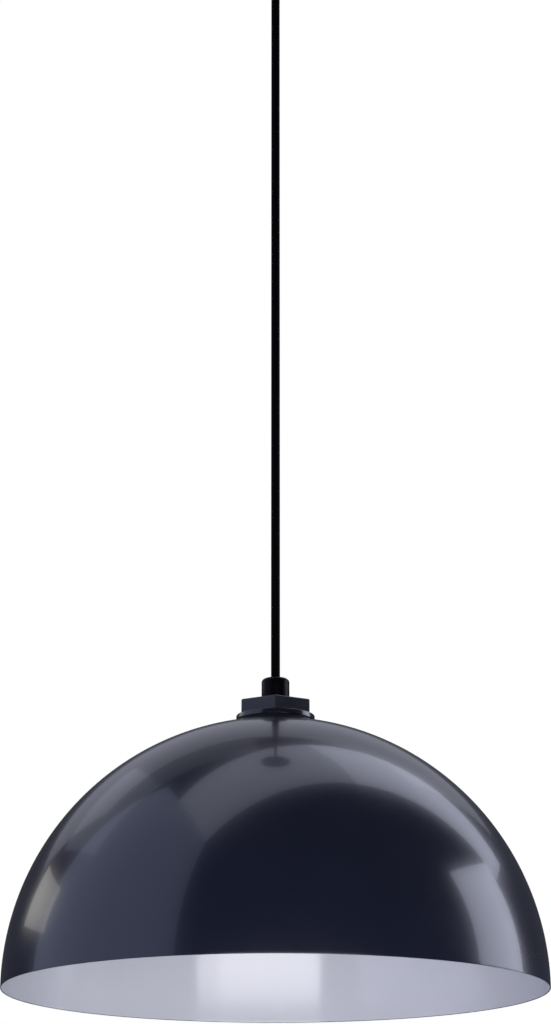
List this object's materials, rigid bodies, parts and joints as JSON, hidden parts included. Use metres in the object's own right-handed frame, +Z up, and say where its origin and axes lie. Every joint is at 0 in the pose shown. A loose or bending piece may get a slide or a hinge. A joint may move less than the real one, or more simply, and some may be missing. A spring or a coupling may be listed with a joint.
{
  "type": "pendant ceiling light",
  "caption": "Dome pendant light: a hemispherical metal shade clamped by a hexagonal nut and washer on a straight black cord, with a ceiling canopy and a screw-in bulb.",
  "frame": {"origin": "the middle of the ceiling bracket's upper face, which lies against the ceiling", "axes": "+Z up, out of the ceiling face; +X along the ceiling bracket; the light is seen from -Y"},
  "size_m": [0.3999, 0.4, 0.8789],
  "materials": {
    "navy_paint": "gloss",
    "zinc_steel": "satin",
    "brass": "satin",
    "copper": "satin",
    "black_rubber": "matte",
    "cord_jacket": "satin",
    "white_plastic": "gloss",
    "porcelain": "gloss",
    "lead_brown": "satin",
    "lead_blue": "satin",
    "lead_green_yellow": "satin",
    "bulb_metal": "satin",
    "black_glass": "gloss",
    "bulb_white": "satin",
    "circuit_green": "satin",
    "board_white": "matte",
    "opal": "satin"
  },
  "bodies": {
    "ceiling": {"ceiling_bracket": "zinc_steel", "terminal_block": "white_plastic", "terminal_inserts": "brass", "terminal_screws": "zinc_steel", "block_screws": "zinc_steel", "earth_screw": "brass"},
    "canopy": {"canopy": "navy_paint", "side_screws": "zinc_steel", "side_nuts": "zinc_steel", "grip_body": "navy_paint", "grip_locknut": "zinc_steel", "grip_insert": "black_rubber", "grip_grub_screw": "zinc_steel", "cord_top_end": "cord_jacket", "lead_live_top": "lead_brown", "lead_neutral_top": "lead_blue", "lead_earth_top": "lead_green_yellow"},
    "cord_pivot": {"cord_core": "copper"},
    "cord_swing": {"cord_bend": "cord_jacket"},
    "lamp": {"cord": "cord_jacket", "gland_cap": "navy_paint", "gland_seal": "black_rubber", "gland_body": "zinc_steel", "hex_nut": "navy_paint", "top_washer": "navy_paint", "top_gasket": "black_rubber", "shade": "navy_paint", "inner_gasket": "black_rubber", "threaded_neck": "zinc_steel", "cord_clamp": "white_plastic", "clamp_screws": "zinc_steel", "holder_nipple": "zinc_steel", "nipple_locknut": "zinc_steel", "holder_cap": "white_plastic", "holder_skirt": "white_plastic", "holder_core": "porcelain", "screw_shell": "brass", "centre_contact": "brass", "holder_contacts": "brass", "holder_screws": "zinc_steel", "lead_live_low": "lead_brown", "lead_neutral_low": "lead_blue", "lead_earth_low": "lead_green_yellow", "earth_lug": "zinc_steel"},
    "bulb_carrier": {"bulb_tip_contact": "bulb_metal"},
    "bulb": {"bulb_base": "bulb_metal", "bulb_insulator": "black_glass", "bulb_housing": "bulb_white", "bulb_driver": "circuit_green", "bulb_board": "board_white", "bulb_globe": "opal"}
  },
  "joints": [
    {"name": "canopy_drop", "type": "slide", "parent": "ceiling", "child": "canopy", "axis": [0, 0, -1], "range_m": [0, 0.06], "deforming": ["lead_live_top", "lead_neutral_top", "lead_earth_top"]},
    {"name": "swing_x", "type": "hinge", "parent": "canopy", "child": "cord_pivot", "pos_m": [0, 0, -0.057], "axis": [1, 0, 0], "range_deg": [-20, 20]},
    {"name": "swing_y", "type": "hinge", "parent": "cord_pivot", "child": "cord_swing", "pos_m": [0, 0, -0.057], "axis": [0, 1, 0], "range_deg": [-20, 20]},
    {"name": "twist", "type": "hinge", "parent": "cord_swing", "child": "lamp", "pos_m": [0, 0, -0.057], "axis": [0, 0, 1], "range_deg": [-90, 90], "stiffness_Nm_per_rad": 0.02},
    {"name": "bulb_travel", "type": "slide", "parent": "lamp", "child": "bulb_carrier", "axis": [0, 0, -1], "range_m": [0, 0.01815]},
    {"name": "bulb_turn", "type": "hinge", "parent": "bulb_carrier", "child": "bulb", "pos_m": [0, 0, -0.775], "axis": [0, 0, -1], "range_deg": [0, 1800]}
  ],
  "couplings": [
    {"joint": "bulb_travel", "follows": "bulb_turn", "m_per_rad": 0.00057757}
  ]
}
